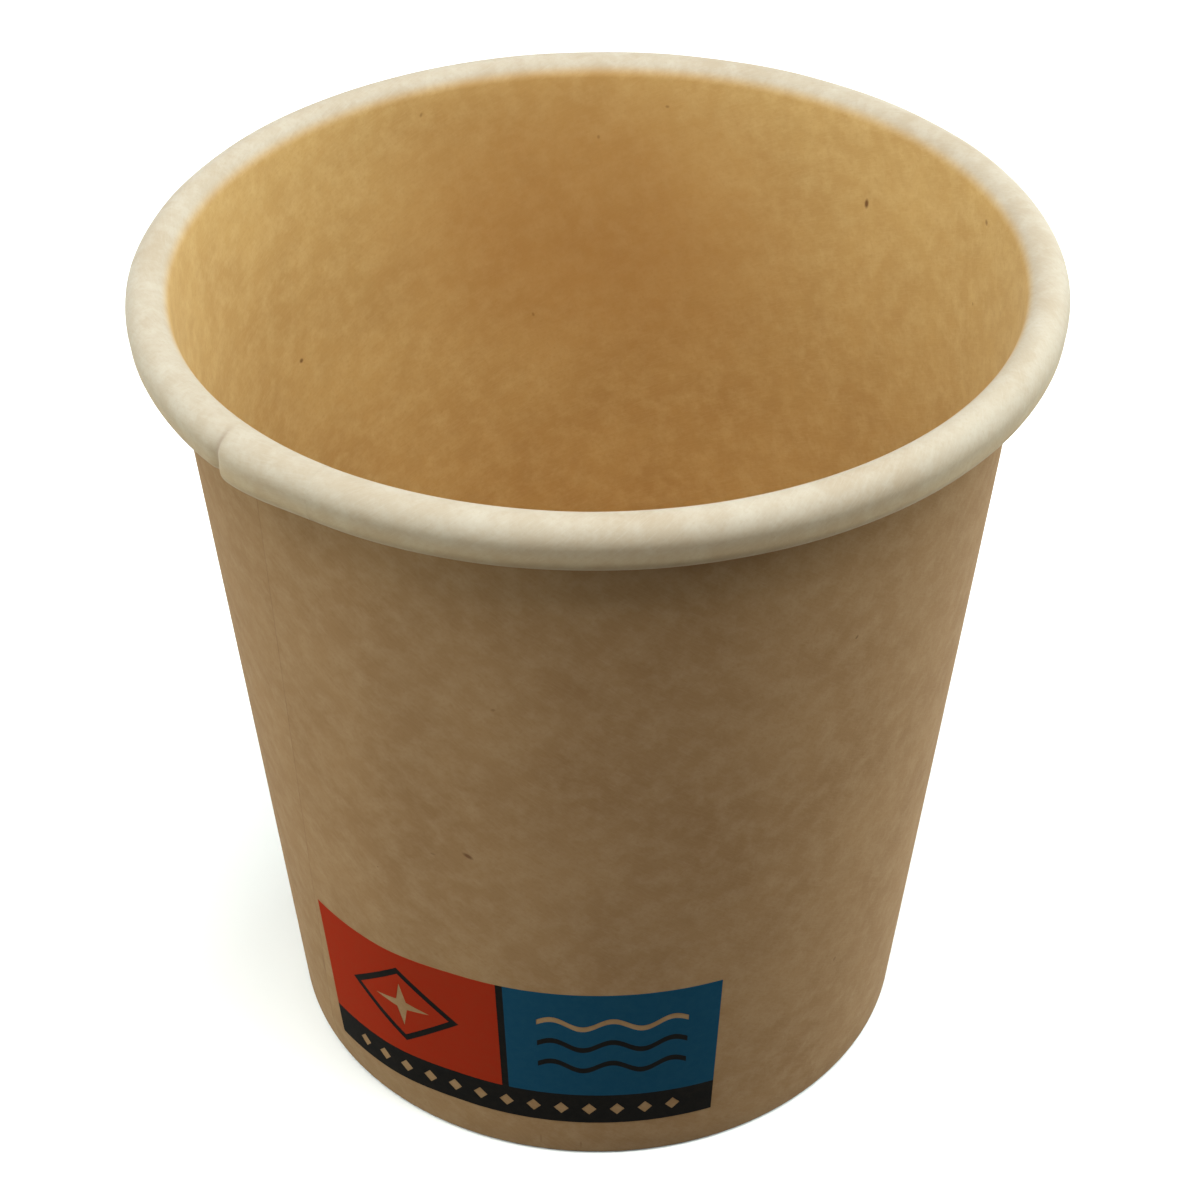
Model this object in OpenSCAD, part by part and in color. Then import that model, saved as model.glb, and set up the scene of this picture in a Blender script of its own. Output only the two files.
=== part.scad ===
// Small kraft paper cup. One fan-shaped sheet is wrapped into the side wall, lapped and glued
// at a side seam, rolled outwards at the rim and folded in and up at the foot. That hem grips
// the turned-down skirt of the bottom disc. A print of plain fields of colour sits low on the wall.
// Millimetres, +Z up. The origin is the centre of the foot, and the front faces -Y.
// Azimuths are degrees about +Z from +X, so the front is at -90.

/* [Cup] */
// Outer diameter of the rolled rim
rim_d = 62; // [56:0.5:100]
// Height from the foot to the top of the rim
cup_h = 62; // [45:0.5:140]
// Outer diameter of the side wall at the foot
base_d = 46.3; // [40:0.1:54]

/* [Paper] */
// Thickness of the side sheet
paper_t = 0.35; // [0.25:0.01:0.45]
// Thickness of the bottom sheet
bottom_t = 0.3; // [0.2:0.01:0.45]
// Glue line left between two sheets
glue_gap = 0.02; // [0.01:0.01:0.06]

/* [Rolled rim] */
// Width of the roll, out from the wall
roll_w = 2.85; // [2.6:0.05:4]
// Height of the roll
roll_h = 3.55; // [3.3:0.05:6]
// Air left between the turns of the roll
roll_gap = 0.04; // [0.02:0.01:0.1]
// Turn of the sheet's edge inside the roll, in degrees
roll_tuck = 80; // [20:5:100]

/* [Foot] */
// Height of the bottom disc's upper face above the foot
recess_h = 6.3; // [5:0.1:10]
// Height of the hem folded up behind the skirt
hem_h = 5.2; // [3:0.1:5.4]
// Radius of the hem's two creases, at the middle of the sheet
crease_r = 0.25; // [0.23:0.01:0.3]
// Radius of the bend between disc and skirt, at the middle of the sheet
skirt_bend_r = 0.5; // [0.3:0.05:0.8]
// Clearance under the skirt's lower edge
skirt_lift = 0.06; // [0.04:0.01:0.5]

/* [Side seam] */
// Azimuth of the lap's middle at half height
seam_az = -134; // [-180:1:180]
// Width of the lap
lap_w = 6.5; // [4:0.1:10]
// Width over which the outer flap comes down off the lap
lap_ramp_w = 2; // [1.5:0.1:4]
// Lean of the seam off the wall's own slope line, in degrees
seam_lean = 4; // [0:0.5:6]
// Swelling of the roll over the doubled sheet
lap_swell = 0.25; // [0.15:0.05:0.4]

/* [Print] */
// Azimuth of the line between the two colour fields
print_az = -106; // [-180:1:180]
// Width of the print round the wall
print_w = 30.5; // [20:0.5:40]
// Height of the print's lower edge above the foot
print_z = 3.75; // [2:0.05:20]
// Height of the dark band
band_h = 3.2; // [2:0.1:6]
// Height of the two colour fields
field_h = 11.1; // [9:0.1:16]
// Thickness given to the ink
ink_t = 0.05; // [0.03:0.01:0.1]
// Clearance between the ink and the paper under it
ink_gap = 0.01; // [0.005:0.005:0.02]
// Width of the dark line between the fields, and of the lozenge's outline
ink_line_w = 0.5; // [0.3:0.05:0.8]
// Width of the lozenge in the left field
lozenge_w = 9; // [7:0.1:11]
// Height of that lozenge
lozenge_h = 8; // [7:0.1:8.6]
// Width of the bare four-pointed star inside the lozenge
star_w = 4.6; // [3:0.1:5]
// Length of the waves in the right field
wave_l = 10.5; // [6:0.1:13]
// Height from a wave's trough to its crest
wave_h = 0.9; // [0.4:0.1:1.4]
// Thickness of a wave line
wave_t = 0.55; // [0.3:0.05:0.8]
// Distance between two waves
wave_pitch = 2.3; // [1.8:0.1:3]
// Number of bare diamonds along the dark band
diamond_count = 13; // [3:1:16]
// Width of one of them
diamond_w = 1.1; // [0.6:0.1:1.5]
// Height of one of them
diamond_h = 1.3; // [0.6:0.1:1.8]

/* [Hidden] */
kraft = [0.62, 0.48, 0.32];
kraft_bottom = [0.66, 0.52, 0.35];
red_ink = [0.74, 0.2, 0.12];
blue_ink = [0.04, 0.24, 0.4];
dark_ink = [0.09, 0.08, 0.08];
// Number of sides that a full turn is drawn with
$fn = 96;
// Angle between the points of an arc
arc_step = 10;
// Reach of the clipping blocks, past the whole cup
reach = rim_d + cup_h;
// Number of wave lines, of waves in each, and of stretches between the points of a line
wave_count = 3;
wave_turns = 2.5;
wave_points = 30;
// Distance from the end of the dark band to the first diamond, in diamond pitches
diamond_margin = 1.5;
// How far a cutting body runs past what it cuts
cut_over = 1;
// Place on the outer crease where the outer flap of the lap starts, as an angle about the crease
flap_start = 280;

// Depth by which the swelling starts and ends under the sheet's face, and its start as a share of the roll
swell_sink = 0.05;
swell_start = 1 / 3;

// Roll: radius of each half turn at the middle of the sheet, and its straight outer side
turn_1_r = (roll_w - paper_t) / 2;
turn_2_r = turn_1_r - (paper_t + roll_gap) / 2;
turn_3_r = turn_2_r - (paper_t + roll_gap) / 2;
roll_side = roll_h - turn_1_r - turn_2_r - paper_t;
turn_1_c = [rim_d / 2 - roll_w / 2, cup_h - roll_w / 2];

// Wall: its middle line starts at wall_foot_r and is tangent to the roll's first half turn
wall_foot_r = (base_d - paper_t) / 2;
to_roll = turn_1_c - [wall_foot_r, 0];
wall_lean = atan2(to_roll[0], to_roll[1]) - asin(turn_1_r / norm(to_roll));

// Foot: the hem lies behind the skirt, and both creases stand on the foot plane
hem_offset = paper_t + bottom_t + 2 * glue_gap;
skirt_offset = (paper_t + bottom_t) / 2 + glue_gap;
crease_z = crease_r + paper_t / 2;
outer_crease_c = [wall_r(crease_z) - crease_r / cos(wall_lean), crease_z];
inner_crease_c = [wall_r(crease_z) - (hem_offset - crease_r) / cos(wall_lean), crease_z];

turn_2_c = turn_1_c + roll_side * along_wall(-1) + (turn_1_r - turn_2_r) * unit(-wall_lean);
turn_3_c = turn_2_c - (turn_2_r - turn_3_r) * unit(-wall_lean);

// Lap: azimuths at half height of the outer flap's cut edge, the inner end's cut edge and the ramp's foot
lap_mid_r = wall_r(cup_h / 2);
flap_edge_az = seam_az - degrees(lap_w / 2, lap_mid_r);
inner_edge_az = seam_az + degrees(lap_w / 2, lap_mid_r);
ramp_foot_az = seam_az + degrees(lap_w / 2 + lap_ramp_w, lap_mid_r);

// Print: heights of its edges, and its half width and the line's as azimuths off its middle
print_top = print_z + band_h + field_h;
field_z = print_z + band_h;
print_mid_z = (print_z + print_top) / 2;
print_mid_r = wall_r(print_mid_z) + paper_t / 2;
half_print = degrees(print_w / 2, print_mid_r);
half_line = degrees(ink_line_w / 2, print_mid_r);
// A sheet's straight side edge leans off the cone's slope line by its azimuth times sin(lean)
edge_lean = half_print * sin(wall_lean);

// Unit vector at an angle
function unit(a) = [cos(a), sin(a)];

// Unit vector up (1) or down (-1) the wall
function along_wall(way) = way * [sin(wall_lean), cos(wall_lean)];

// Azimuth that a distance round the cup takes up at a radius
function degrees(distance, r) = distance / r * 180 / PI;

// Radius of the wall's middle line at a height
function wall_r(z) = wall_foot_r + z * tan(wall_lean);

// Points of an arc as [r, z, heading], turning left (1) or right (-1)
function arc(c, r, from, to, way) =
    let (n = ceil(abs(to - from) / arc_step))
    [for (i = [0:n]) let (a = from + (to - from) * i / n) [c[0] + r * cos(a), c[1] + r * sin(a), a + way * 90]];

// Points of a path moved off it, to its left for a positive distance
function beside(path, d) = [for (p = path) [p[0] - d * sin(p[2]), p[1] + d * cos(p[2])]];

function reversed(list) = [for (i = [len(list) - 1:-1:0]) list[i]];

// Outline of a sheet of a thickness that follows a path
function sheet(path, t) = concat(beside(path, t / 2), reversed(beside(path, -t / 2)));

// Middle line of the side sheet, from the hem's edge down, round the foot, up and round the roll
hem_path = [[wall_r(hem_h) - hem_offset / cos(wall_lean), hem_h, -90 - wall_lean]];
foot_path = concat(
    arc(inner_crease_c, crease_r, 180 - wall_lean, 270, 1),
    arc(outer_crease_c, crease_r, 270, 360 - wall_lean, 1)
);
roll_path = concat(
    arc(turn_1_c, turn_1_r, 180 - wall_lean, -wall_lean, -1),
    arc(turn_2_c, turn_2_r, -wall_lean, -180 - wall_lean, -1)
);
tuck_path = arc(turn_3_c, turn_3_r, -180 - wall_lean, -180 - wall_lean - roll_tuck, -1);

module revolve(points) {
    rotate_extrude() polygon(points);
}

// Places children at a height on the wall's middle line: x outwards, y round the cup, z up the slope
module on_wall(az, z) {
    rotate([0, 0, az]) translate([wall_r(z), 0, z]) rotate([0, wall_lean, 0]) children();
}

// Everything counter-clockwise (1) or clockwise (-1) of a leaning edge at an azimuth
module beyond_edge(az, z, lean, way) {
    on_wall(az, z)
        rotate([lean, 0, 0])
        translate([-wall_r(z), way > 0 ? 0 : -reach, -reach])
        cube([reach, reach, 2 * reach]);
}

// Everything to the right (1) or left (-1) of one of the lap's leaning edges
module beyond_lap_edge(az, way) {
    beyond_edge(az, cup_h / 2, -seam_lean, way);
}

// Section between the axis and a distance over the wall's outer face, between two heights
function wall_body(low, high, out) =
    let (d = (paper_t / 2 + out) / cos(wall_lean))
    [[0, low], [wall_r(low) + d, low], [wall_r(high) + d, high], [0, high]];

// The whole cone inside a distance over the wall's outer face, moved round the cup. Its surface comes down
// through the unmoved one along the leaning foot of the ramp, and is one sheet over it at the ramp's head.
module under_ramp(out) {
    steepness = paper_t / lap_ramp_w;
    shift = lap_mid_r * steepness;
    fall = lap_mid_r - sqrt(lap_mid_r * lap_mid_r - shift * shift);
    rotate([0, 0, ramp_foot_az])
        translate([lap_mid_r, 0, cup_h / 2])
        rotate([0, atan(steepness * tan(seam_lean)), 0])
        translate([fall - lap_mid_r, -shift, -cup_h / 2])
        rotate([0, 0, 180])
        revolve(wall_body(-roll_h, cup_h + roll_h, out));
}

// Path up the wall's middle line, from the outer crease into the roll
flap_path = concat(
    arc(outer_crease_c, crease_r, flap_start, 360 - wall_lean, 1),
    [[wall_r(turn_2_c[1]), turn_2_c[1], 90 - wall_lean]]
);

// Flap of the lap: a second thickness on the wall's outer face, from the foot into the roll
module lap_flap() {
    intersection() {
        revolve(concat(beside(flap_path, 0), reversed(beside(flap_path, -1.5 * paper_t))));
        beyond_lap_edge(flap_edge_az, 1);
        under_ramp(0);
        translate([-reach, -reach, 0]) cube([2 * reach, 2 * reach, cup_h]);
    }
}

// Step on the wall's inner face, where the inner end of the sheet is cut and the outer one comes down to it
// It runs from the bottom disc up to the roll.
module inner_step() {
    wall_path = [for (z = [recess_h + glue_gap, cup_h - roll_h]) [wall_r(z), z, 90 - wall_lean]];
    intersection() {
        revolve(concat(beside(wall_path, paper_t / 2 + glue_gap), reversed(beside(wall_path, -paper_t))));
        beyond_lap_edge(inner_edge_az, 1);
        under_ramp(-paper_t);
    }
}

// The roll stands a little prouder where both ends of the sheet are rolled together
module lap_roll() {
    n = len(roll_path) - 1;
    // Nothing is added before the top of the roll, so the cup's height stays as it is
    rise = [for (i = [0:n]) sin(180 * max(0, i / n - swell_start) / (1 - swell_start))];
    off = [for (i = [0:n]) paper_t / 2 - swell_sink + (lap_swell + swell_sink) * rise[i]];
    outer = [for (i = [0:n]) beside([roll_path[i]], off[i])[0]];
    intersection() {
        revolve(concat(beside(roll_path, 0), reversed(outer)));
        beyond_lap_edge(flap_edge_az, 1);
        beyond_lap_edge(inner_edge_az, -1);
    }
}

module side_wall() {
    color(kraft)
    difference() {
        union() {
            revolve(sheet(concat(hem_path, foot_path, roll_path, tuck_path), paper_t));
            lap_flap();
            lap_roll();
        }
        inner_step();
    }
}

module bottom_disc() {
    mid_z = recess_h - bottom_t / 2;
    bend_z = mid_z - skirt_bend_r;
    bend_c = [wall_r(bend_z) - (skirt_offset + skirt_bend_r) / cos(wall_lean), bend_z];
    edge_z = paper_t + skirt_lift;
    skirt_path = concat(
        [[0, mid_z, 0]],
        arc(bend_c, skirt_bend_r, 90, -wall_lean, -1),
        [[wall_r(edge_z) - skirt_offset / cos(wall_lean), edge_z, -90 - wall_lean]]
    );
    color(kraft_bottom) revolve(sheet(skirt_path, bottom_t));
}

// Solid that fills the lapped wall between two heights, out to a distance over its outer face
module filled_wall(low, high, out) {
    revolve(wall_body(low, high, out));
    intersection() {
        revolve(wall_body(low, high, paper_t + out));
        beyond_lap_edge(flap_edge_az, 1);
        under_ramp(out);
    }
}

// Ink on the wall's outer face between two heights, following the lap under it
module ink_ring(low, high) {
    difference() {
        filled_wall(low, high, ink_gap + ink_t);
        filled_wall(low - cut_over, high + cut_over, ink_gap);
    }
}

// Ink between two heights, cut straight at its left and right ends as on the flat sheet
module ink_field(low, high, left, right, left_lean, right_lean) {
    intersection() {
        ink_ring(low, high);
        beyond_edge(print_az + left, print_mid_z, left_lean, 1);
        beyond_edge(print_az + right, print_mid_z, right_lean, -1);
    }
}

// Runs a flat shape straight out through the wall, at an azimuth off the print's middle
module stamp(az, z) {
    rotate([0, 0, print_az + az]) translate([0, 0, z]) rotate([90, 0, 90]) linear_extrude(height = reach) children();
}

module lozenge(w, h) {
    polygon([[w / 2, 0], [0, h / 2], [-w / 2, 0], [0, -h / 2]]);
}

// Outline of one line's width inside the lozenge's edge
module lozenge_outline() {
    side = norm([lozenge_w, lozenge_h]);
    difference() {
        lozenge(lozenge_w, lozenge_h);
        lozenge(lozenge_w - 2 * ink_line_w * side / lozenge_h, lozenge_h - 2 * ink_line_w * side / lozenge_w);
    }
}

// Four-pointed star whose waist is a quarter of its width
module star(w) {
    polygon([for (i = [0:7]) (i % 2 == 0 ? w / 2 : w / 8) * unit(45 * i)]);
}

// One wave line along x
module wave() {
    crest = [for (i = [0:wave_points]) let (u = i / wave_points)
        [(u - 0.5) * wave_l, wave_h / 2 * sin(360 * wave_turns * u)]];
    upper = [for (p = crest) p + [0, wave_t / 2]];
    lower = [for (p = crest) p - [0, wave_t / 2]];
    polygon(concat(upper, reversed(lower)));
}

// Azimuth of the middle of a field, to the left (-1) or right (1)
function field_az(side) = side * (half_print + half_line) / 2;

module red_motif_place() {
    stamp(field_az(-1), field_z + field_h / 2) children();
}

module wave_place(row) {
    stamp(field_az(1), field_z + field_h / 2 + (row - (wave_count - 1) / 2) * wave_pitch) children();
}

module printed_red_field() {
    color(red_ink)
    difference() {
        ink_field(field_z, print_top, -half_print, -half_line, edge_lean, 0);
        red_motif_place() lozenge_outline();
        red_motif_place() star(star_w);
    }
}

module printed_blue_field() {
    color(blue_ink)
    difference() {
        ink_field(field_z, print_top, half_line, half_print, 0, -edge_lean);
        for (row = [0:wave_count - 1]) wave_place(row) wave();
    }
}

// Dark ink: the band, the line between the fields, the lozenge's outline and all waves but the top one
module printed_dark_ink() {
    pitch = 2 * half_print / (diamond_count - 1 + 2 * diamond_margin);
    color(dark_ink) {
        difference() {
            ink_field(print_z, field_z, -half_print, half_print, edge_lean, -edge_lean);
            for (i = [0:diamond_count - 1])
                stamp((i - (diamond_count - 1) / 2) * pitch, (print_z + field_z) / 2)
                lozenge(diamond_w, diamond_h);
        }
        ink_field(field_z, print_top, -half_line, half_line, 0, 0);
        intersection() {
            ink_ring(field_z, print_top);
            union() {
                red_motif_place() lozenge_outline();
                for (row = [0:wave_count - 2]) wave_place(row) wave();
            }
        }
    }
}

side_wall();
bottom_disc();
printed_red_field();
printed_blue_field();
printed_dark_ink();
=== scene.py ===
"""Small kraft paper cup: one sheet wrapped to a cone, lapped at a side seam, rolled outwards at the
rim and folded round the skirt of the bottom disc, with fields of ink low on the wall.
Metres and radians, +Z up."""
import math

import bpy
import numpy as np
from mathutils import Matrix, Vector
from mathutils.geometry import delaunay_2d_cdt

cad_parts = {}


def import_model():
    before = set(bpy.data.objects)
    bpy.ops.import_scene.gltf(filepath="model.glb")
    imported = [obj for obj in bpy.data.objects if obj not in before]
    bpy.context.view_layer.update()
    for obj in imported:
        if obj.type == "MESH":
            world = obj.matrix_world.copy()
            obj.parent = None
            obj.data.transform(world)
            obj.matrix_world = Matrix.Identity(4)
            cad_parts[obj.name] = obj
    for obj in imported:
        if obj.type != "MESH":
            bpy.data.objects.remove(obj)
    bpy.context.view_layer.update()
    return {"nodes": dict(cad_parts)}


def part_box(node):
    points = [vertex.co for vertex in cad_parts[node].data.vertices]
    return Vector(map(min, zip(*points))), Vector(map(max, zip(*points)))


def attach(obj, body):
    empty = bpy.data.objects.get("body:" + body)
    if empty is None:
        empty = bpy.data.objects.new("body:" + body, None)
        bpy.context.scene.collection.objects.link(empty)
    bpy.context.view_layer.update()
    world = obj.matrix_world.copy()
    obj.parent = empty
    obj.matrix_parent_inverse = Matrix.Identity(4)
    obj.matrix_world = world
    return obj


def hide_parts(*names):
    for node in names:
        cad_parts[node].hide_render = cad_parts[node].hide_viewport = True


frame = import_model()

MM = 0.001
CM_PER_M = 100.0

# Sizes of the cup, as in the part: the outer ones come from the frame
WALL_BOX_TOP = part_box("side_wall")[1]
RIM_R = WALL_BOX_TOP.x
CUP_H = WALL_BOX_TOP.z
BASE_D = 46.3 * MM
PAPER_T = 0.35 * MM
BOTTOM_T = 0.3 * MM
GLUE_GAP = 0.02 * MM
ROLL_W = 2.85 * MM
ROLL_H = 3.55 * MM
ROLL_GAP = 0.04 * MM
ROLL_TUCK = math.radians(80)
HEM_H = 5.2 * MM
CREASE_R = 0.25 * MM

# The lap of the side seam. Near the rim the inner end is pressed thin towards its cut edge
SEAM_AZ = math.radians(-134)
SEAM_LEAN = math.radians(4)
LAP_W = 6.5 * MM
RAMP_W = 7 * MM
LAYER_GAP = 0.005 * MM
PRESSED_W = 6 * MM
PRESSED_SHARE = 0.02
PRESSED_LOW, PRESSED_HIGH = 46 * MM, 59 * MM
CRUSH_LOW, CRUSH_TOP = 0.4 * MM, 4.5 * MM

# The roll's step over the flap's edge, and the shade in its crease and on the cut edges
SHOULDER_W = 0.45 * MM
SHOULDER_END = 0.05 * MM
WALL_SHOULDER_SHARE = 0.2
GROOVE_W = 0.45 * MM
GROOVE = 0.17 * MM
CREASE_SHADE_W = 0.2 * MM
CREASE_SHADE_AT = 0.8 * SHOULDER_W
CREASE_SHADE = 0.3
CUT_SHADE_W = 0.12 * MM

# The print
PRINT_AZ = math.radians(-106)
PRINT_W = 30.5 * MM
PRINT_Z = 3.75 * MM
BAND_H = 3.2 * MM
FIELD_H = 11.1 * MM
INK_T = 0.014 * MM
INK_GAP = 0.006 * MM
INK_LINE_W = 0.5 * MM
INK_STEP = 0.35 * MM
INK_CLEAR = 0.4 * INK_STEP
LOZENGE_W, LOZENGE_H = 9 * MM, 8 * MM
STAR_W = 4.6 * MM
WAVE_L, WAVE_H, WAVE_T, WAVE_PITCH = 10.5 * MM, 0.9 * MM, 0.55 * MM, 2.3 * MM
WAVE_TURNS, WAVE_POINTS = 2.5, 61
DIAMONDS, DIAMOND_W, DIAMOND_H = 13, 1.1 * MM, 1.3 * MM

# Unevenness of the real cup: seeded waves, with how often they turn round it and rise along it
OVAL = 0.008
OVAL_AZ = math.radians(46)
RIM_WAVE = 0.035 * MM
DENTS = {"seed": 3, "count": 9, "amount": 0.05 * MM, "turns": (2, 9), "rises": (-6, 6)}
RIM_WAVES = {"seed": 5, "count": 8, "amount": RIM_WAVE, "turns": (5, 26), "rises": (0, 1)}
DENTS_LOW, DENTS_HIGH = 6 * MM, 25 * MM

# Steps along the sheet's path, and stretches of the rim counted in them from its highest point
ROLL_STEP, CREASE_STEP = math.radians(9), math.radians(15)
HEM_STEPS, WALL_STEPS, SIDE_STEPS = 7, 34, 3
ON_BEAD, ON_ROLL, PAST_WALL = (-1, 7), (0, 22), (-10, 0)
# The roll's tones come in over the first stretch. Over the second, the painted highlight of its top
# gives way to its sides' tones
HIGHLIGHT_STRETCH, HIGHLIGHT_FADE = (-9, -4), (5, 17)

# Columns round the sheet from its inner end on: before, on and after the step over the flap's edge,
# round the cup, on the ramp and on the lap. The step's places are counted from the flap's edge
COLUMNS_BEFORE, COLUMNS_ON, COLUMNS_AFTER = 15, 24, 4
COLUMNS_ROUND, COLUMNS_RAMP, COLUMNS_LAP = 248, 15, 13
STEP_FROM, STEP_TO, STEP_PAST = -0.3 * MM, 1.3 * MM, 3 * MM

# Roll, wall and foot of the sheet's middle line, worked out as in the part
TURN_1_R = (ROLL_W - PAPER_T) / 2
TURN_2_R = TURN_1_R - (PAPER_T + ROLL_GAP) / 2
TURN_3_R = TURN_2_R - (PAPER_T + ROLL_GAP) / 2
ROLL_SIDE = ROLL_H - TURN_1_R - TURN_2_R - PAPER_T
TURN_1_C = np.array([RIM_R - ROLL_W / 2, CUP_H - ROLL_W / 2])
WALL_FOOT_R = (BASE_D - PAPER_T) / 2
TO_ROLL = TURN_1_C - [WALL_FOOT_R, 0]
WALL_LEAN = math.atan2(TO_ROLL[0], TO_ROLL[1]) - math.asin(TURN_1_R / np.hypot(*TO_ROLL))
HEM_OFFSET = PAPER_T + BOTTOM_T + 2 * GLUE_GAP
CREASE_Z = CREASE_R + PAPER_T / 2


def wall_r(z):
    """Radius of the wall's middle line at a height."""
    return WALL_FOOT_R + z * math.tan(WALL_LEAN)


def unit(a):
    return np.array([math.cos(a), math.sin(a)])


def smooth(low, high, x):
    """0 up to low, 1 from high on, and smooth between them."""
    t = np.clip((np.asarray(x, float) - low) / (high - low), 0, 1)
    return t * t * (3 - 2 * t)


# The sheet's path in its own section


def arc(centre, r, start, end, step):
    """Points of an arc as rows of radius, height and heading."""
    n = max(2, math.ceil(abs(end - start) / step))
    a = np.linspace(start, end, n + 1)
    way = math.copysign(math.pi / 2, end - start)
    return np.column_stack([centre[0] + r * np.cos(a), centre[1] + r * np.sin(a), a + way])


def straight(start, end, n, heading):
    """Points of a straight stretch, without its two ends."""
    t = np.linspace(0, 1, n + 1)[1:-1, None]
    p = start + (np.asarray(end) - start) * t
    return np.column_stack([p, np.full(len(p), heading)])


def sheet_path():
    """Rows of radius, height and heading: the hem from its edge, the foot, the wall, the roll."""
    lean, cos = WALL_LEAN, math.cos(WALL_LEAN)
    outer = np.array([wall_r(CREASE_Z) - CREASE_R / cos, CREASE_Z])
    inner = np.array([wall_r(CREASE_Z) - (HEM_OFFSET - CREASE_R) / cos, CREASE_Z])
    down = -np.array([math.sin(lean), cos])
    turn_2 = TURN_1_C + ROLL_SIDE * down + (TURN_1_R - TURN_2_R) * unit(-lean)
    turn_3 = turn_2 - (TURN_2_R - TURN_3_R) * unit(-lean)
    pi = math.pi
    hem_top = np.array([wall_r(HEM_H) - HEM_OFFSET / cos, HEM_H])
    crease_1 = arc(inner, CREASE_R, pi - lean, 1.5 * pi, CREASE_STEP)
    crease_2 = arc(outer, CREASE_R, 1.5 * pi, 2 * pi - lean, CREASE_STEP)
    roll_1 = arc(TURN_1_C, TURN_1_R, pi - lean, -lean, ROLL_STEP)
    roll_2 = arc(turn_2, TURN_2_R, -lean, -pi - lean, ROLL_STEP)
    tuck = arc(turn_3, TURN_3_R, -pi - lean, -pi - lean - ROLL_TUCK, CREASE_STEP)
    up = pi / 2 - lean
    return np.vstack([
        np.array([[*hem_top, -pi / 2 - lean]]),
        straight(hem_top, crease_1[0, :2], HEM_STEPS, -pi / 2 - lean),
        crease_1,
        crease_2,
        straight(crease_2[-1, :2], roll_1[0, :2], WALL_STEPS, up),
        roll_1,
        straight(roll_1[-1, :2], roll_2[0, :2], SIDE_STEPS, up - pi),
        roll_2,
        tuck[1:],
    ])


def waves(az, z, seed, count, amount, turns, rises):
    """Sum of slow seeded waves round the cup and up its wall, within plus and minus amount."""
    rng = np.random.default_rng(seed)
    total = np.zeros(np.broadcast(az, z).shape)
    for _ in range(count):
        k, m = rng.integers(*turns), rng.uniform(*rises)
        total += np.cos(k * az + m * z / CUP_H + rng.uniform(0, 2 * math.pi)) / count
    return amount * total


def lap_edge(z, offset):
    """Azimuth of a line along the leaning lap, at a distance from its middle."""
    along = math.tan(SEAM_LEAN) * (z - CUP_H / 2) / math.cos(WALL_LEAN)
    return SEAM_AZ + (along + offset) / wall_r(z)


def turn_between(a):
    """The same angle between minus and plus half a turn."""
    return (a + math.pi) % (2 * math.pi) - math.pi


def crushed(z):
    """1 at the foot, where the lap's two layers are pressed to one thickness, and 0 on the wall."""
    return 1 - smooth(CRUSH_LOW, CRUSH_TOP, z)


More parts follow.
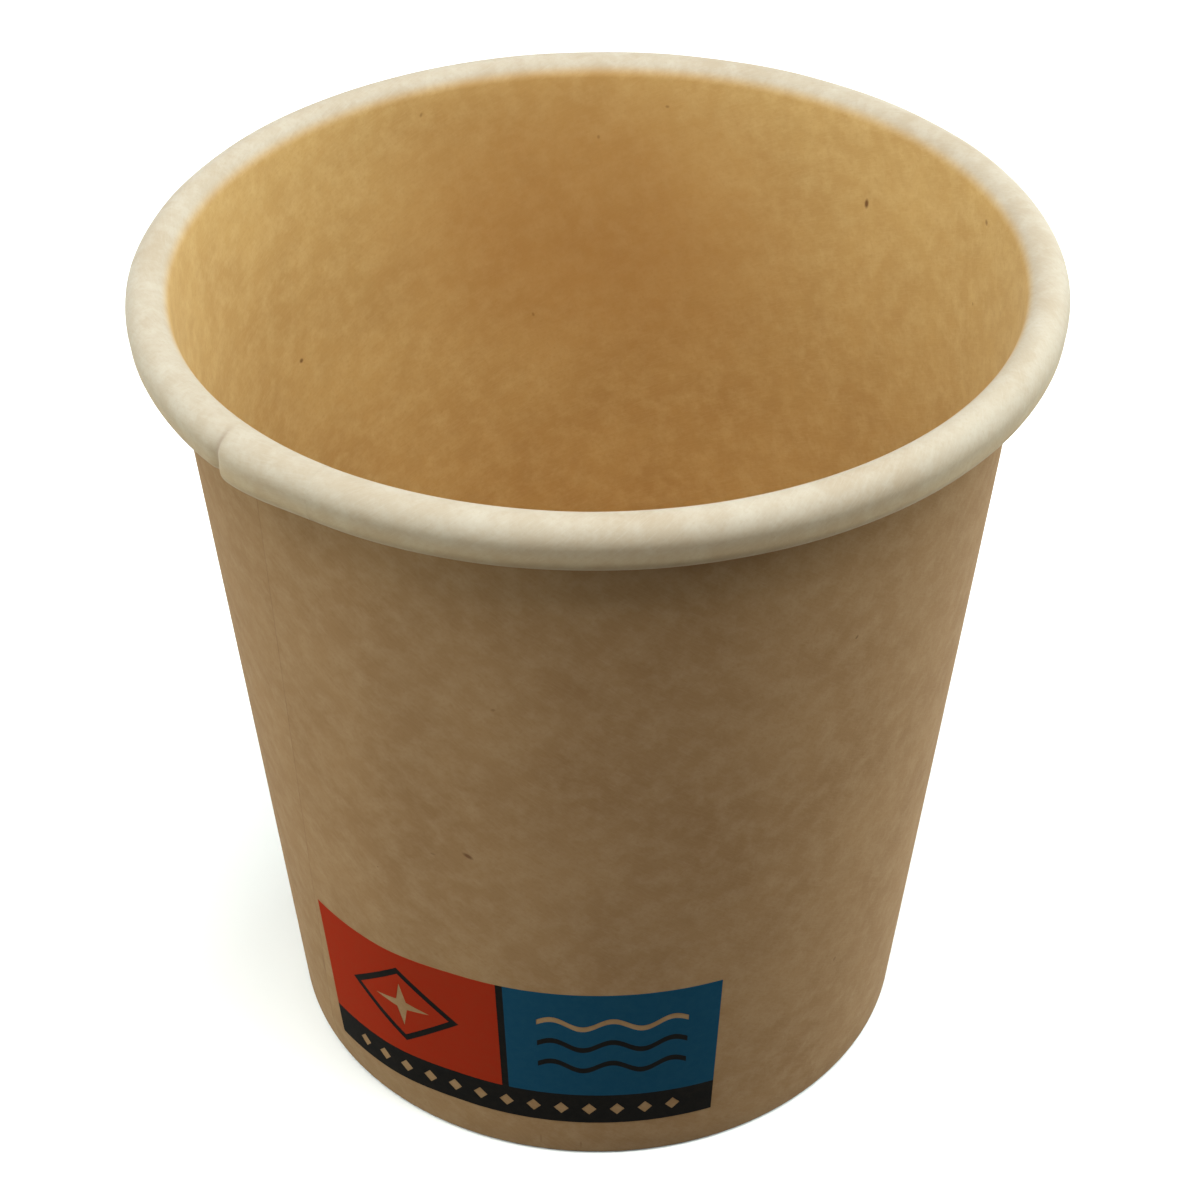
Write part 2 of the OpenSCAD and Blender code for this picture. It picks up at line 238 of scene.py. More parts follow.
class Sheet:
    """The wrapped sheet: where its faces lie for a place on its path and an azimuth."""

    def __init__(self):
        self.path = sheet_path()
        step = np.hypot(*np.diff(self.path[:, :2], axis=0).T)
        self.along = np.concatenate([[0], np.cumsum(step)])
        self.foot = int(np.argmin(self.path[:, 1]))
        self.top = int(np.argmax(self.path[:, 1]))
        self.on_hem = np.arange(len(self.path)) < self.foot
        self.on_roll = self.stretch(ON_ROLL)
        self.on_bead = self.stretch(ON_BEAD)
        self.past_wall = self.stretch(PAST_WALL)
        near_rim = smooth(PRESSED_LOW, PRESSED_HIGH, self.path[:, 1])
        self.pressed = np.maximum(near_rim, self.on_bead) * ~self.on_hem

    def stretch(self, ends):
        """0 before a stretch of the rim, 1 past it, for each path point."""
        return smooth(self.top + ends[0], self.top + ends[1], np.arange(len(self.path)))

    def layers(self, az, inner_end):
        """Offset and thickness of the sheet at each path point, for a column of azimuths counted
        from the lap. Offsets are towards the product side. On the wall the flap lies outside the
        inner end, and in the roll under it."""
        z = self.path[:, 1]
        past_inner, past_flap = ((az - lap_edge(z, k * LAP_W / 2)) * wall_r(z) for k in (1, -1))
        crush = np.where(self.on_hem, 1, crushed(z))
        thinned = 1 - smooth(0, PRESSED_W, -past_inner)
        inner_t = PAPER_T * (1 - self.pressed * (1 - PRESSED_SHARE) * thinned)
        on_wall = 1 - self.on_roll
        if inner_end:
            shoulder = SHOULDER_W * (WALL_SHOULDER_SHARE + (1 - WALL_SHOULDER_SHARE) * self.on_bead)
            amount = smooth(-shoulder, SHOULDER_END, past_flap)
            groove = np.exp(-(((past_flap + SHOULDER_W) / GROOVE_W) ** 2)) * self.on_bead
            over_flap = (PAPER_T + inner_t) / 2 + LAYER_GAP
            lift = on_wall * (PAPER_T - inner_t) / 2 + self.on_roll * over_flap
            offset = amount * ((1 - crush) * lift + crush * PAPER_T / 4) - GROOVE * groove
            thickness = inner_t * (1 - 0.5 * crush * amount)
        else:
            amount = 1 - smooth(0, RAMP_W, past_inner)
            offset = -amount * ((1 - crush) * on_wall * (inner_t + LAYER_GAP) + crush * PAPER_T / 4)
            thickness = PAPER_T * (1 - 0.5 * crush * amount)
        return offset, thickness

    def crease(self, az):
        """1 along the crease where the roll steps over the flap's edge, and 0 away from it."""
        z = self.path[:, 1]
        past_flap = turn_between(az - lap_edge(z, -LAP_W / 2)) * wall_r(z)
        return np.exp(-(((past_flap + CREASE_SHADE_AT) / CREASE_SHADE_W) ** 2)) * self.on_bead

    def unevenness(self, az):
        """Push of the real, slightly dented wall and roll, towards the product side."""
        z = self.path[:, 1]
        wall = smooth(DENTS_LOW, DENTS_HIGH, z) * (1 - self.past_wall)
        dents = waves(az, z, **DENTS) * wall
        rim = waves(az, z * 0, **RIM_WAVES) - RIM_WAVE
        return dents + rim * self.past_wall

    def faces(self, az, inner_end):
        """Points of the product-side and outer faces, for one azimuth at each path point."""
        offset, thickness = self.layers(az if inner_end else az + 2 * math.pi, inner_end)
        offset = offset + self.unevenness(az)
        return [self.place(az, offset + side * thickness / 2) for side in (1, -1)]

    def place(self, az, offset):
        r, z, heading = self.path.T
        r = r - offset * np.sin(heading)
        z = z + offset * np.cos(heading)
        return around(r, z, az)


def around(r, z, az):
    """Points at a radius, height and azimuth on the slightly oval cup."""
    r = r * (1 + OVAL * np.clip(z / CUP_H, 0, 1) ** 2 * np.cos(2 * (az - OVAL_AZ)))
    return np.stack([r * np.cos(az), r * np.sin(az), z], axis=-1)


SHEET = Sheet()


def stations():
    """Columns of azimuths, one for each path point, clockwise from the sheet's inner end, once
    round and over the lap. Near the lap they follow its leaning edges."""
    z = SHEET.path[:, 1]
    r = wall_r(z)
    inner_edge, flap_edge = lap_edge(z, LAP_W / 2), lap_edge(z, -LAP_W / 2)
    step = LAP_W + np.linspace(STEP_FROM, STEP_TO, COLUMNS_ON)
    before = np.append(0, np.linspace(CUT_SHADE_W, step[0], COLUMNS_BEFORE + 1)[:-1])
    after = np.linspace(step[-1], LAP_W + STEP_PAST, COLUMNS_AFTER + 1)[1:]
    begin = [inner_edge - d / r for d in np.concatenate([before, step, after])]
    ramp = np.linspace(LAP_W + RAMP_W, LAP_W, COLUMNS_RAMP)
    lap = np.append(np.linspace(LAP_W, CUT_SHADE_W, COLUMNS_LAP + 1)[1:], 0)
    finish = [flap_edge - 2 * math.pi + d / r for d in np.concatenate([ramp, lap])]
    between = np.linspace(0, 1, COLUMNS_ROUND + 2)[1:-1]
    body = [begin[-1] + (finish[0] - begin[-1]) * t for t in between]
    return begin + body + finish


# Meshes

SHARP_EDGE = math.radians(40)


def mesh_object(name, points, faces):
    """A smooth-shaded object of the given points and faces."""
    mesh = bpy.data.meshes.new(name)
    mesh.from_pydata([tuple(p) for p in points], [], [tuple(int(i) for i in f) for f in faces])
    mesh.validate()
    mesh.shade_smooth()
    mesh.set_sharp_from_angle(angle=SHARP_EDGE)
    ob = bpy.data.objects.new(name, mesh)
    bpy.context.scene.collection.objects.link(ob)
    return ob


def point_values(ob, name, values):
    """Stores one number for each point, for its material."""
    attribute = ob.data.attributes.new(name, "FLOAT", "POINT")
    attribute.data.foreach_set("value", np.asarray(values, np.float32))


def flat_map(ob, flat):
    """UV map of the flat sheet, in centimetres, so that the fibres run straight on it."""
    layer = ob.data.uv_layers.new(name="sheet")
    loop_point = np.zeros(len(ob.data.loops), np.int32)
    ob.data.loops.foreach_get("vertex_index", loop_point)
    layer.uv.foreach_set("vector", (flat[loop_point] * CM_PER_M).astype(np.float32).ravel())


def flat_place(az, along):
    """Where a point of the cup lies on the flat sheet, a fan whose centre is the cone's apex."""
    radius = WALL_FOOT_R / math.sin(WALL_LEAN) + along
    angle = az * math.sin(WALL_LEAN)
    return np.stack([radius * np.sin(angle), radius * np.cos(angle)], axis=-1)


def side_wall():
    """One closed shell: both faces of the sheet on a grid, joined along its four cut edges."""
    columns = stations()
    n, m = len(columns), len(SHEET.path)
    points = np.zeros((2, n, m, 3))
    flat = np.zeros((2, n, m, 2))
    for i, az in enumerate(columns):
        points[0, i], points[1, i] = SHEET.faces(az, az[SHEET.top] > SEAM_AZ - math.pi)
        flat[:, i] = flat_place(az, SHEET.along - SHEET.along[SHEET.foot])
    inner, outer = np.arange(2 * n * m).reshape(2, n, m)
    quads = [
        np.stack([inner[:-1, :-1], inner[:-1, 1:], inner[1:, 1:], inner[1:, :-1]], -1),
        np.stack([outer[:-1, :-1], outer[1:, :-1], outer[1:, 1:], outer[:-1, 1:]], -1),
        np.stack([inner[0, :-1], outer[0, :-1], outer[0, 1:], inner[0, 1:]], -1),
        np.stack([inner[-1, :-1], inner[-1, 1:], outer[-1, 1:], outer[-1, :-1]], -1),
        np.stack([inner[:-1, 0], inner[1:, 0], outer[1:, 0], outer[:-1, 0]], -1),
        np.stack([inner[:-1, -1], outer[:-1, -1], outer[1:, -1], inner[1:, -1]], -1),
    ]
    faces = np.vstack([q.reshape(-1, 4) for q in quads])
    ob = mesh_object("wrapped_sheet", points.reshape(-1, 3), faces)
    flat_map(ob, flat.reshape(-1, 2))
    crease = np.array([SHEET.crease(az) for az in columns])
    # The cut edges on the wall get the same painted shade as the crease
    crease[[0, -1]] = 1 - SHEET.past_wall
    inside = np.array([1, 0])[:, None, None]
    for name, values in (("roll", SHEET.stretch(HIGHLIGHT_STRETCH)), ("crease", crease),
                         ("roll_side", SHEET.stretch(HIGHLIGHT_FADE)), ("inside", inside)):
        point_values(ob, name, np.broadcast_to(values, (2, n, m)).ravel())
    return ob


# Ink: flat outlines, in x round the wall from the print's middle and in z, filled and wrapped


def rectangle(x0, x1, z0, z1):
    return [(x0, z0), (x1, z0), (x1, z1), (x0, z1)]


def rhombus(x, z, w, h):
    return [(x + w / 2, z), (x, z + h / 2), (x - w / 2, z), (x, z - h / 2)]


def star(x, z, w):
    corners = []
    for i in range(8):
        r, a = w / 2 if i % 2 == 0 else w / 8, i * math.pi / 4
        corners.append((x + r * math.cos(a), z + r * math.sin(a)))
    return corners


def wave(x, z):
    u = np.linspace(0, 1, WAVE_POINTS)
    crest = WAVE_H / 2 * np.sin(2 * math.pi * WAVE_TURNS * u)
    across = x + (u - 0.5) * WAVE_L
    lower = list(zip(across, z + crest - WAVE_T / 2))
    return lower + list(zip(across, z + crest + WAVE_T / 2))[::-1]


def inside_outline(p, outline):
    """True where points lie inside a closed outline."""
    q = np.asarray(outline)
    a, b = q, np.roll(q, -1, axis=0)
    x, y = p[:, 0, None], p[:, 1, None]
    crosses = (a[:, 1] > y) != (b[:, 1] > y)
    rise = np.where(b[:, 1] == a[:, 1], 1, b[:, 1] - a[:, 1])
    return (crosses & (x < a[:, 0] + (y - a[:, 1]) * (b[:, 0] - a[:, 0]) / rise)).sum(1) % 2 == 1


def densified(outline, step):
    """The outline with points no further apart than a step."""
    out = []
    for a, b in zip(outline, outline[1:] + outline[:1]):
        n = max(1, math.ceil(math.dist(a, b) / step))
        out += [(a[0] + (b[0] - a[0]) * i / n, a[1] + (b[1] - a[1]) * i / n) for i in range(n)]
    return out


def triangles(outline, holes):
    """Points and triangles that fill an outline outside its holes, on a grid of about a step."""
    loops = [densified(o, INK_STEP) for o in [outline] + holes]
    points, edges = [], []
    for loop in loops:
        first = len(points)
        points += loop
        edges += [(first + i, first + (i + 1) % len(loop)) for i in range(len(loop))]
    q = np.asarray(outline)
    low, high = q.min(0), q.max(0)
    counts = [max(2, round(size / INK_STEP)) for size in high - low]
    gx, gz = (np.linspace(low[k], high[k], counts[k] + 1)[1:-1] for k in (0, 1))
    grid = np.array([(x, z) for x in gx for z in gz])
    near = np.array(points)
    clear = np.min(np.hypot(*(grid[:, None] - near[None]).transpose(2, 0, 1)), axis=1) > INK_CLEAR
    points += [tuple(p) for p in grid[clear]]
    scale = 1 / MM
    out = delaunay_2d_cdt([Vector((x * scale, z * scale)) for x, z in points], edges, [], 0, 1e-7)
    p = np.array([tuple(v) for v in out[0]]) / scale
    faces = np.array([list(f) for f in out[2]])
    centre = p[faces].mean(1)
    keep = inside_outline(centre, outline)
    for hole in holes:
        keep &= ~inside_outline(centre, hole)
    faces = faces[keep]
    used, faces = np.unique(faces, return_inverse=True)
    return p[used], faces.reshape(-1, 3)


def on_wall(x, z, out):
    """Points at a distance over the wall's outer face, x round the cup from the print's middle."""
    z = np.asarray(z, float)
    print_r = wall_r(PRINT_Z + (BAND_H + FIELD_H) / 2)
    az = PRINT_AZ + x / print_r
    wall = slice(SHEET.foot, SHEET.top)
    heights = SHEET.path[wall, 1]
    found = np.zeros((len(z), 3))
    for i, (a, height) in enumerate(zip(az, z)):
        column = np.full(len(SHEET.path), a)
        offset, thickness = SHEET.layers(column, False)
        total = (offset + SHEET.unevenness(column) - thickness / 2)[wall]
        d = np.interp(height, heights, total) - out
        r = wall_r(height) - d / math.cos(WALL_LEAN)
        found[i] = around(r, height, a)
    return found


def ink(name, shapes):
    """A thin closed film of ink over flat shapes, each an outline with its holes."""
    points, faces = [], []
    for outline, holes in shapes:
        flat, tris = triangles(outline, holes)
        low = on_wall(flat[:, 0], flat[:, 1], INK_GAP)
        high = on_wall(flat[:, 0], flat[:, 1], INK_GAP + INK_T)
        first = sum(len(p) for p in points)
        n = len(flat)
        points += [high, low]
        faces.append(tris + first)
        faces.append(tris[:, ::-1] + first + n)
        pairs = np.vstack([tris[:, [0, 1]], tris[:, [1, 2]], tris[:, [2, 0]]])
        known = {tuple(e) for e in pairs.tolist()}
        rim = np.array([e for e in pairs.tolist() if (e[1], e[0]) not in known])
        faces.append(np.column_stack([rim[:, 1], rim[:, 0], rim[:, 0] + n]) + first)
        faces.append(np.column_stack([rim[:, 1], rim[:, 0] + n, rim[:, 1] + n]) + first)
    return mesh_object(name, np.vstack(points), np.vstack(faces))


def print_pieces():
    """The two fields, and the dark ink of the band, the line, the lozenge's outline and two waves.
    The diamonds, the star and the third wave are bare board."""
    half, line = PRINT_W / 2, INK_LINE_W / 2
    field_z, top = PRINT_Z + BAND_H, PRINT_Z + BAND_H + FIELD_H
    mid_z, mid_x = field_z + FIELD_H / 2, (half + line) / 2
    side = math.hypot(LOZENGE_W, LOZENGE_H)
    lozenge = rhombus(-mid_x, mid_z, LOZENGE_W, LOZENGE_H)
    inner = rhombus(-mid_x, mid_z, LOZENGE_W - 2 * INK_LINE_W * side / LOZENGE_H,
                    LOZENGE_H - 2 * INK_LINE_W * side / LOZENGE_W)
    waves_up = [wave(mid_x, mid_z + k * WAVE_PITCH) for k in (-1, 0, 1)]
    pitch = PRINT_W / (DIAMONDS + 2)
    band_z = PRINT_Z + BAND_H / 2
    diamonds = [rhombus((i - (DIAMONDS - 1) / 2) * pitch, band_z, DIAMOND_W, DIAMOND_H)
                for i in range(DIAMONDS)]
    red = ink("red_field_ink", [
        (rectangle(-half, -line, field_z, top), [lozenge]),
        (inner, [star(-mid_x, mid_z, STAR_W)]),
    ])
    blue = ink("blue_field_ink", [(rectangle(line, half, field_z, top), waves_up)])
    dark = ink("dark_ink_lines", [
        (rectangle(-half, half, PRINT_Z, field_z), diamonds),
        (rectangle(-line, line, field_z, top), []),
        (lozenge, [inner]),
        (waves_up[0], []),
        (waves_up[1], []),
    ])
    return red, blue, dark


# Materials


class Nodes:
    """A short way to build a node tree."""

    def __init__(self, name="", tree=None):
        if tree is None:
            self.material = bpy.data.materials.new(name)
            self.material.use_nodes = True
            tree = self.material.node_tree
        self.tree = tree
        self.shader = next((n for n in tree.nodes if n.type == "BSDF_PRINCIPLED"), None)

    def add(self, kind, inputs=None, **settings):
        node = self.tree.nodes.new(kind)
        for key, value in settings.items():
            setattr(node, key, value)
        for key, value in (inputs or {}).items():
            self.put(node.inputs[key], value)
        return node

    def put(self, socket, value):
        if isinstance(value, bpy.types.NodeSocket):
            self.tree.links.new(value, socket)
        else:
            socket.default_value = value

    def math(self, operation, a, b):
        return self.add("ShaderNodeMath", {0: a, 1: b}, operation=operation).outputs[0]

    def mix(self, factor, a, b):
        return self.add("ShaderNodeMix", {0: factor, 6: a, 7: b}, data_type="RGBA").outputs[2]

    def noise(self, vector, scale, detail, roughness, distortion=0.0):
        node = self.add("ShaderNodeTexNoise", {
            "Vector": vector, "Scale": scale, "Detail": detail,
            "Roughness": roughness, "Distortion": distortion,
        })
        return node.outputs["Fac"]

    def spread(self, value, low, high, to_low=0.0, to_high=1.0):
        node = self.add("ShaderNodeMapRange", {
            "Value": value, "From Min": low, "From Max": high, "To Min": to_low, "To Max": to_high,
        })
        return node.outputs["Result"]

    def roughened(self, height, strength, distance):
        """Gives the shader a bump of a height, at a distance in metres."""
        bump = self.add("ShaderNodeBump", {
            "Height": height, "Strength": strength, "Distance": distance,
        })
        self.put(self.shader.inputs["Normal"], bump.outputs["Normal"])

    def set(self, **numbers):
        """Sets the shader's own sockets, named with underscores."""
        for key, value in numbers.items():
            self.shader.inputs[key.replace("_", " ")].default_value = value

    def centimetres(self):
        """Place on the cup, in centimetres."""
        where = self.add("ShaderNodeTexCoord").outputs["Object"]
        scaled = self.add("ShaderNodeVectorMath", {0: where, 3: CM_PER_M}, operation="SCALE")
        return scaled.outputs[0]

    def stretched(self, vector, angle, sx, sy):
        node = self.add("ShaderNodeMapping", {
            "Vector": vector, "Rotation": (0, 0, angle), "Scale": (sx, sy, 1),
        })
        return node.outputs["Vector"]


def linear(r, g, b):
    """Colour with alpha from one as seen on a screen."""
    def channel(c):
        return c / 12.92 if c <= 0.04045 else ((c + 0.055) / 1.055) ** 2.4
    return (channel(r), channel(g), channel(b), 1.0)


def fibres(n, place):
    """Short fibres in several directions on the flat sheet: a number that is high on a fibre."""
    total = None
    for angle, share in ((0.15, 1.0), (0.9, 0.7), (-0.65, 0.8), (1.5, 0.5)):
        along = n.stretched(place, angle, 1.1, 11.0)
        strand = n.noise(along, scale=7.0, detail=1.0, roughness=0.6, distortion=0.4)
        strand = n.math("MULTIPLY", n.spread(strand, 0.56, 0.78), share)
        total = strand if total is None else n.math("MAXIMUM", total, strand)
    return total


def board_height(n, place):
    """Height of the board's fine surface."""
    grain = n.noise(place, scale=42.0, detail=3.0, roughness=0.65)
    soft = n.noise(place, scale=9.0, detail=2.0, roughness=0.5)
    return n.math("ADD", n.math("MULTIPLY", grain, 0.7), soft)


def kraft_colour(n, place, fibre, colours):
    """Mottled kraft: a middle tone with cloudy darker and paler patches, fibres and shives."""
    middle, dark, pale, shive = colours
    clouds = n.noise(place, scale=1.1, detail=3.0, roughness=0.62)
    patches = n.noise(place, scale=5.5, detail=4.0, roughness=0.65)
    fine = n.noise(place, scale=30.0, detail=2.0, roughness=0.6)
    colour = n.mix(n.spread(clouds, 0.35, 0.68, 0.0, 0.75), middle, dark)
    colour = n.mix(n.spread(patches, 0.42, 0.72, 0.0, 0.65), colour, pale)
    colour = n.mix(n.spread(fine, 0.5, 0.75, 0.0, 0.35), colour, dark)
    colour = n.mix(n.math("MULTIPLY", fibre, 0.28), colour, pale)
    cells = n.stretched(place, 0.4, 1.0, 0.55)
    specks = n.add("ShaderNodeTexVoronoi", {"Vector": cells, "Scale": 6.0})
    size = n.spread(specks.outputs["Color"], 0.86, 1.0, 0.0, 0.085)
    speck = n.math("LESS_THAN", specks.outputs["Distance"], size)
    return n.mix(n.math("MULTIPLY", speck, 0.6), colour, shive)


def fleck_mask(n, place, az, z, length, width, tilt, strength):
    """A soft-edged ellipse on the flat sheet, at a place on the cup in degrees and millimetres."""
    wall = slice(SHEET.foot, SHEET.top)
    along = np.interp(z * MM, SHEET.path[wall, 1], SHEET.along[wall]) - SHEET.along[SHEET.foot]
    start = math.degrees(SEAM_AZ)
    turned = math.radians(az if az < start else az - 360)
    centre = flat_place(np.array(turned), np.array(along)) * CM_PER_M
    angle = math.radians(tilt) - turned * math.sin(WALL_LEAN)
    local = n.add("ShaderNodeMapping", {
        "Vector": place, "Location": (centre[0], centre[1], 0), "Rotation": (0, 0, angle),
        "Scale": (length / 20, width / 20, 1),  # half of each, in centimetres
    }, vector_type="TEXTURE").outputs["Vector"]
    distance = n.add("ShaderNodeVectorMath", {0: local}, operation="LENGTH").outputs["Value"]
    return n.spread(distance, 0.45, 1.15, strength, 0.0)


def flecks(n, place, is_inside):
    """All the shives with a place of their own, of the outer face and of the inner one, and the
    painted shade of three dents outside.
    """
    masks = []
    for side in (FLECKS_AND_DENT_SHADE_OUTSIDE, FLECKS_INSIDE):
        total = 0.0
        for fleck in side:
            total = n.math("MAXIMUM", total, fleck_mask(n, place, *fleck))
        masks.append(total)
    return n.math("ADD", n.math("MULTIPLY", n.math("SUBTRACT", 1.0, is_inside), masks[0]),
                  n.math("MULTIPLY", is_inside, masks[1]))


def kraft_material():
    """Uncoated kraft outside, a warmer and faintly satin inside, and a roll painted paler as a
    highlight.
    """
    n = Nodes("kraft_board")
    place = n.add("ShaderNodeUVMap", uv_map="sheet").outputs["UV"]
    fibre = fibres(n, place)
    is_inside = n.add("ShaderNodeAttribute", attribute_name="inside").outputs["Fac"]
    is_roll = n.add("ShaderNodeAttribute", attribute_name="roll").outputs["Fac"]
    on_side = n.add("ShaderNodeAttribute", attribute_name="roll_side").outputs["Fac"]
    colours = []
    # On the roll, the top's paler tones are a painted highlight, and its sides are painted less
    # pale
    for out, into, top, side in zip(OUTSIDE, INSIDE, ROLL_PAINTED_HIGHLIGHT, ROLL_SIDES):
        colours.append(n.mix(is_roll, n.mix(is_inside, out, into), n.mix(on_side, top, side)))
    colour = kraft_colour(n, place, fibre, colours)
    brown = fleck_mask(n, place, *BROWN_PATCH)
    colour = n.mix(n.math("MULTIPLY", n.math("SUBTRACT", is_inside, is_roll), brown), colour, BROWN)
    colour = n.mix(flecks(n, place, is_inside), colour, SHIVE_AND_PAINTED_SHADE)
    crease = n.add("ShaderNodeAttribute", attribute_name="crease").outputs["Fac"]
    # Painted shade in the crease of the roll's step and on the cut edges, in the shive colour
    colour = n.mix(n.math("MULTIPLY", crease, CREASE_SHADE), colour, SHIVE_AND_PAINTED_SHADE)
    n.put(n.shader.inputs["Base Color"], colour)
    satin = n.math("MULTIPLY", is_inside, ROUGH_OUTSIDE - ROUGH_INSIDE)
    n.put(n.shader.inputs["Roughness"], n.math("SUBTRACT", ROUGH_OUTSIDE, satin))
    n.set(Sheen_Weight=0.06, Sheen_Roughness=0.5, Specular_IOR_Level=0.1)
    n.roughened(board_height(n, place), *BOARD_BUMP)
    return n.material


def bottom_material():
    """Kraft board of the bottom disc, mapped by its own place."""
    n = Nodes("kraft_bottom_board")
    place = n.centimetres()
    n.put(n.shader.inputs["Base Color"], kraft_colour(n, place, fibres(n, place), BOTTOM))
    n.set(Roughness=0.6, Specular_IOR_Level=0.1)
    n.roughened(board_height(n, place), *BOARD_BUMP)
    return n.material


def ink_material(name, colour, worn):
    """Ink that has soaked into the board: uneven at a fine scale, with the paper's grain in it."""
    n = Nodes(name)
    place = n.centimetres()
    soak = n.noise(place, scale=14.0, detail=5.0, roughness=0.7)
    fine = n.noise(place, scale=60.0, detail=3.0, roughness=0.6)
    tone = n.mix(n.spread(soak, 0.4, 0.75, 0.0, 0.45), colour, worn)
    tone = n.mix(n.spread(fine, 0.58, 0.8, 0.0, 0.35), tone, worn)
    n.put(n.shader.inputs["Base Color"], tone)
    n.set(Roughness=0.75, Specular_IOR_Level=0.02)
    n.roughened(n.math("ADD", soak, n.math("MULTIPLY", fine, 0.6)), *INK_BUMP)
    return n.material


def tones(*colours):
    """Linear colours, from ones as seen on a screen."""
    return [linear(*colour) for colour in colours]


# Board: middle, dark, pale and shive
OUTSIDE = tones((0.613, 0.472, 0.32), (0.553, 0.412, 0.265),
                (0.668, 0.54, 0.395), (0.4, 0.28, 0.18))
INSIDE = tones((0.738, 0.597, 0.372), (0.673, 0.525, 0.314),
               (0.788, 0.662, 0.45), (0.46, 0.31, 0.18))
BOTTOM = tones((0.76, 0.63, 0.43), (0.7, 0.56, 0.36),
               (0.8, 0.69, 0.5), (0.48, 0.33, 0.2))
# Roll, top and sides: paler than the board as a painted highlight, most on the top
ROLL_PAINTED_HIGHLIGHT = tones((0.67, 0.623, 0.557), (0.625, 0.561, 0.478),
             (0.71, 0.676, 0.625), (0.52, 0.43, 0.31))
ROLL_SIDES = tones((0.7, 0.6, 0.46), (0.65, 0.54, 0.4),
                   (0.74, 0.66, 0.53), (0.5, 0.4, 0.28))
# The shive colour, which is also the colour of the painted shade, and a browner board
SHIVE_AND_PAINTED_SHADE, BROWN = tones((0.36, 0.2, 0.1), (0.69, 0.5, 0.275))
ROUGH_OUTSIDE, ROUGH_INSIDE = 0.86, 0.58

# Bumps: strength and distance
BOARD_BUMP = (0.35, 0.05 * MM)
INK_BUMP = (0.3, 0.04 * MM)

# Ink: its colour, and its worn colour
RED = tones((0.61, 0.175, 0.09), (0.57, 0.21, 0.12))
BLUE = tones((0.09, 0.262, 0.355), (0.14, 0.295, 0.37))
DARK = tones((0.07, 0.065, 0.06), (0.14, 0.12, 0.1))

# Shives that show in the board, and three upright marks of painted shade in dents near the foot:
# azimuth in degrees, height, length and width in mm, tilt in degrees, and strength
FLECKS_AND_DENT_SHADE_OUTSIDE = [
    (-103.8, 44.9, 0.35, 0.25, 20, 0.35),
    (-109.2, 30.8, 0.85, 0.4, -30, 0.75),
    (-114.9, 30.1, 0.5, 0.2, 0, 0.3),
    (-46.1, 14.5, 0.45, 0.3, 60, 0.4),
    # Painted shade in three upright dents near the foot
    (-100.1, 1.4, 0.9, 0.2, 90, 0.25),
    (-92.9, 1.1, 0.8, 0.2, 90, 0.25),
    (-147.8, 9.0, 2.6, 0.35, 90, 0.25),
]
FLECKS_INSIDE = [
    (45.1, 54.8, 0.8, 0.4, 90, 0.85),
    (146.1, 44.2, 0.45, 0.4, 0, 0.75),
    (18.2, 59.4, 0.5, 0.4, 40, 0.5),
    (101.2, 41.5, 0.4, 0.25, 70, 0.35),
    (79.5, 58.6, 0.35, 0.25, 0, 0.4),
    (90.1, 56.0, 0.35, 0.25, 90, 0.35),
    (118.1, 59.4, 0.4, 0.25, 120, 0.4),
]

# A browner cloud high up on the far inside, given in the same way
BROWN_PATCH = (93, 50, 34, 26, 10, 0.5)


# Camera, light and floor

LENS_F, IMAGE = 2656.66, 1200  # focal length and frame in the photograph's pixels
SENSOR = 36
CAM_DISTANCE = 0.2142
CAM_UP = math.radians(44.5874)
CAM_YAW = math.radians(-0.0399)
CAM_PITCH = math.radians(-7.0713)
CAM_ROLL = math.radians(0.1137)
WHITE = (1.0, 1.0, 1.0, 1.0)
FLOOR_DARK = (0.06, 0.046, 0.036, 1.0)
FLOOR_FADE = (0.12, 0.5)
FLOOR_SIZE = 1.5
ROOM_LIGHT = 0.03
WARM_WHITE = (1.0, 0.98, 0.93)
SKYLIGHT = (0.88, 1.0, 0.98)

# Lamps: place, size, watts and colour
LAMPS = {
    "overhead": ((0.0, -0.1, 0.6), 0.5, 4.1, WARM_WHITE),
    "high_left": ((-0.38, -0.08, 0.5), 0.4, 1.3, SKYLIGHT),
    "high_right": ((0.38, -0.08, 0.5), 0.4, 1.7, SKYLIGHT),
    "left": ((-0.56, -0.22, 0.17), 0.3, 2.5, SKYLIGHT),
    "right": ((0.59, 0.04, 0.16), 0.3, 1.4, SKYLIGHT),
    "front_right": ((0.52, -0.26, 0.33), 0.4, 0.9, SKYLIGHT),
    "back_right": ((0.45, 0.45, 0.25), 0.45, 2.3, SKYLIGHT),
}


def camera():
    """Camera at the photograph's place: aimed at the cup's base, then yawed, pitched and rolled."""
    back = Vector((0, -math.cos(CAM_UP), math.sin(CAM_UP)))
    right = Vector((1, 0, 0))
    up = back.cross(right)
    back_2 = back * math.cos(CAM_YAW) + right * math.sin(CAM_YAW)
    right_2 = right * math.cos(CAM_YAW) - back * math.sin(CAM_YAW)
    back_3 = back_2 * math.cos(CAM_PITCH) + up * math.sin(CAM_PITCH)
    up_3 = up * math.cos(CAM_PITCH) - back_2 * math.sin(CAM_PITCH)
    right_4 = right_2 * math.cos(CAM_ROLL) + up_3 * math.sin(CAM_ROLL)
    up_4 = up_3 * math.cos(CAM_ROLL) - right_2 * math.sin(CAM_ROLL)
    data = bpy.data.cameras.new("camera")
    data.sensor_width = SENSOR
    data.lens = LENS_F / IMAGE * SENSOR
    data.clip_start = 0.01
    ob = bpy.data.objects.new("camera", data)
    bpy.context.scene.collection.objects.link(ob)
    turn = Matrix((right_4, up_4, back_3)).transposed().to_4x4()
    ob.matrix_world = Matrix.Translation(back * CAM_DISTANCE) @ turn
    bpy.context.scene.camera = ob


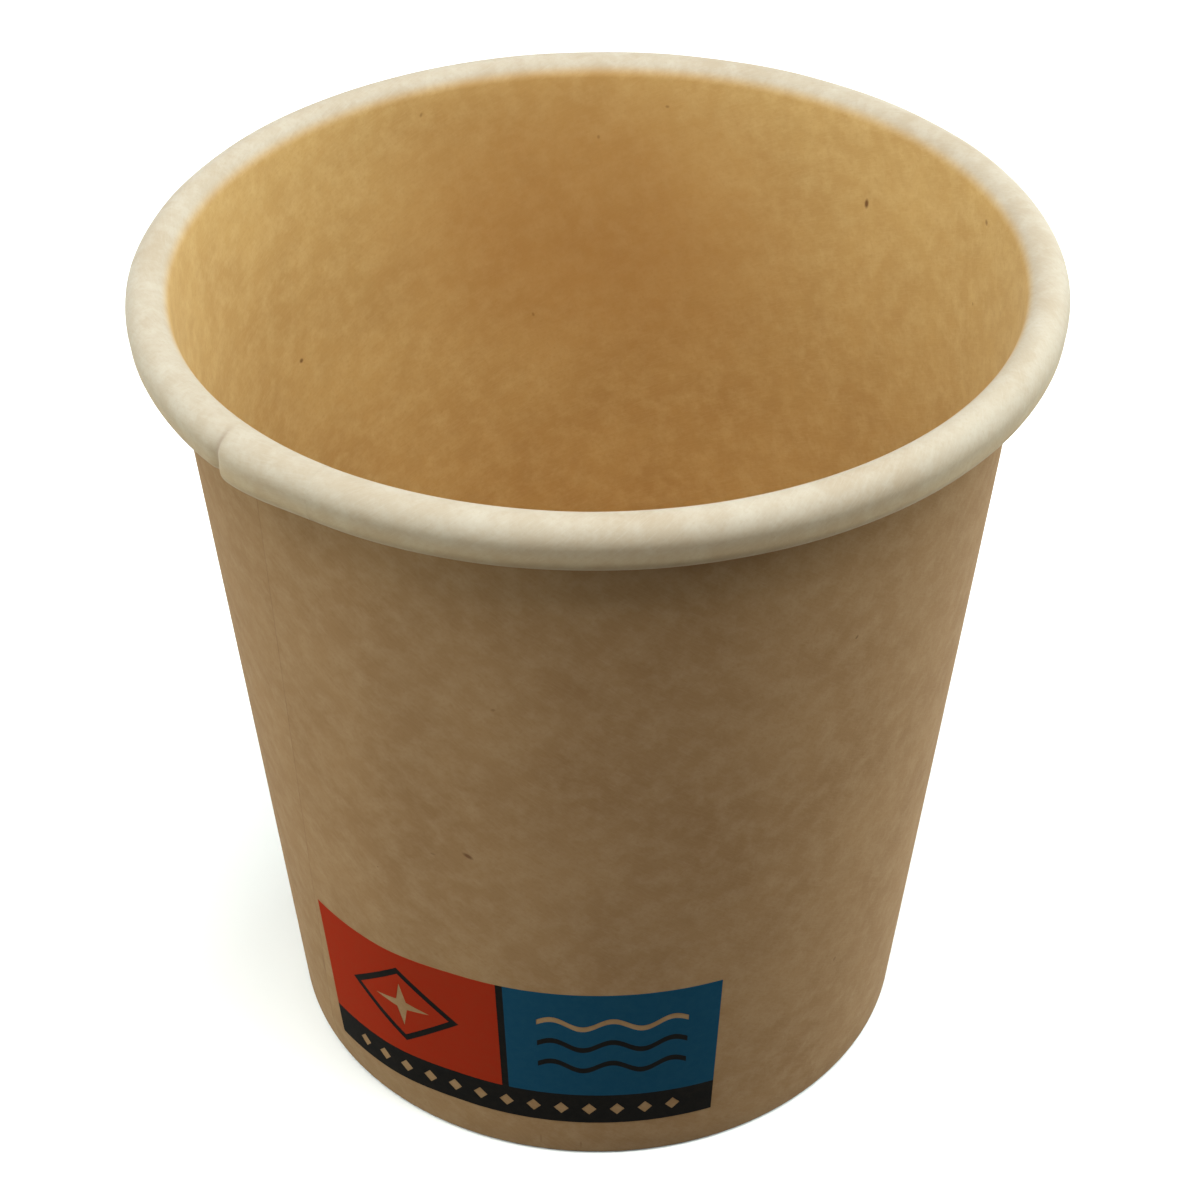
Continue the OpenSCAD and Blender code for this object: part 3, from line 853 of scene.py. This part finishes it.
def lamp(name, place, size, power, colour):
    """A square soft light that faces the middle of the cup."""
    data = bpy.data.lights.new(name, "AREA")
    data.shape = "SQUARE"
    data.size = size
    data.energy = power
    data.color = colour
    ob = bpy.data.objects.new(name, data)
    bpy.context.scene.collection.objects.link(ob)
    ob.location = place
    to_cup = Vector((0, 0, CUP_H / 2)) - Vector(place)
    ob.rotation_euler = to_cup.to_track_quat("-Z", "Y").to_euler()


def looked_at(n):
    """1 for rays that show what is round the cup: the camera's own, mirrored and passed on ones."""
    rays = n.add("ShaderNodeLightPath").outputs
    passed_on = n.math("MAXIMUM", rays["Is Glossy Ray"], rays["Is Transmission Ray"])
    return n.math("MAXIMUM", rays["Is Camera Ray"], passed_on)


def world():
    """A white backdrop that lights the cup only faintly."""
    w = bpy.data.worlds.new("room")
    bpy.context.scene.world = w
    w.use_nodes = True
    n = Nodes(tree=w.node_tree)
    background = next(node for node in n.tree.nodes if node.type == "BACKGROUND")
    background.inputs["Color"].default_value = WHITE
    n.put(background.inputs["Strength"], n.spread(looked_at(n), 0.0, 1.0, ROOM_LIGHT, 1.0))


def floor():
    """White floor that keeps the cup's shadow and goes over into the backdrop. It only looks so
    bright: as a light on the cup it is a dark table."""
    mesh = bpy.data.meshes.new("floor")
    corners = [(x * FLOOR_SIZE, y * FLOOR_SIZE, 0) for x, y in ((-1, -1), (1, -1), (1, 1), (-1, 1))]
    mesh.from_pydata(corners, [], [(0, 1, 2, 3)])
    ob = bpy.data.objects.new("floor", mesh)
    bpy.context.scene.collection.objects.link(ob)
    n = Nodes("floor_white")
    seen = looked_at(n)
    n.put(n.shader.inputs["Base Color"], n.mix(seen, FLOOR_DARK, WHITE))
    place = n.add("ShaderNodeTexCoord").outputs["Object"]
    away = n.add("ShaderNodeVectorMath", {0: place}, operation="LENGTH").outputs["Value"]
    glow = n.math("MULTIPLY", seen, n.spread(away, *FLOOR_FADE))
    n.put(n.shader.inputs["Emission Strength"], glow)
    n.set(Emission_Color=WHITE, Roughness=1.0, Specular_IOR_Level=0.0)
    ob.data.materials.append(n.material)


def dress(ob, material, slot, *nodes):
    """Gives a piece its material and its place in the frame."""
    ob.data.materials.append(material)
    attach(ob, "root")
    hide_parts(*nodes)


def main():
    bpy.context.scene.view_settings.view_transform = "Standard"
    camera()
    world()
    for name, lamp_values in LAMPS.items():
        lamp(name, *lamp_values)
    floor()
    dress(side_wall(), kraft_material(), "kraft_wall", "side_wall")
    red, blue, dark = print_pieces()
    dress(red, ink_material("red_ink_on_board", *RED), "red_ink", "printed_red_field")
    dress(blue, ink_material("blue_ink_on_board", *BLUE), "blue_ink", "printed_blue_field")
    dress(dark, ink_material("dark_ink_on_board", *DARK), "dark_ink", "printed_dark_ink")
    disc = frame["nodes"]["bottom_disc"]
    disc.data.materials.clear()
    disc.data.materials.append(bottom_material())


main()
